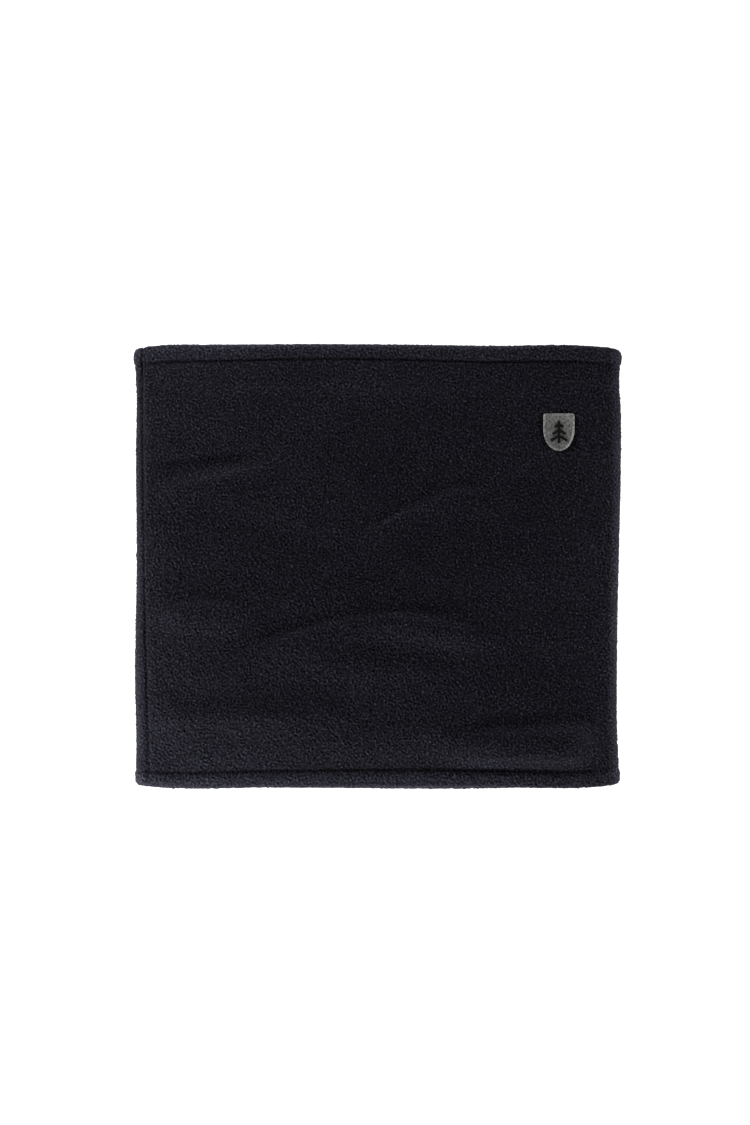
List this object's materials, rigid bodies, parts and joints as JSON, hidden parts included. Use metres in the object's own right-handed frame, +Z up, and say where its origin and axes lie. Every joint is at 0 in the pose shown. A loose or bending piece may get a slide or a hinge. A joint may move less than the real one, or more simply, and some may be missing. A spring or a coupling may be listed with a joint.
{
  "type": "neck gaiter",
  "caption": "Fleece neck gaiter lying flat: a sewn fleece tube with turned-in hems, a side seam, a small embroidered badge and an inside label; it warms the neck and lower face.",
  "frame": {"origin": "on the surface that the gaiter lies on, under the middle of its flat outline", "axes": "+X from the side seam's fold to the badge's fold, +Y from the bottom hem to the top hem, +Z up out of the front"},
  "size_m": [0.27, 0.247, 0.0156],
  "materials": {
    "fleece": "matte",
    "sewing_thread": "satin",
    "badge_thread": "satin",
    "motif_thread": "satin",
    "backing": "matte",
    "label_satin": "satin"
  },
  "bodies": {
    "root": {"fleece_panel": "fleece", "top_hem_needle_thread": "sewing_thread", "top_hem_bobbin_thread": "sewing_thread", "bottom_hem_needle_thread": "sewing_thread", "bottom_hem_bobbin_thread": "sewing_thread", "side_seam_needle_thread": "sewing_thread", "side_seam_looper_thread": "sewing_thread", "badge_border_thread": "badge_thread", "badge_fill_thread": "badge_thread", "badge_motif_thread": "motif_thread", "badge_backing": "backing", "badge_bobbin_thread": "motif_thread", "care_label": "label_satin"}
  },
  "joints": []
}
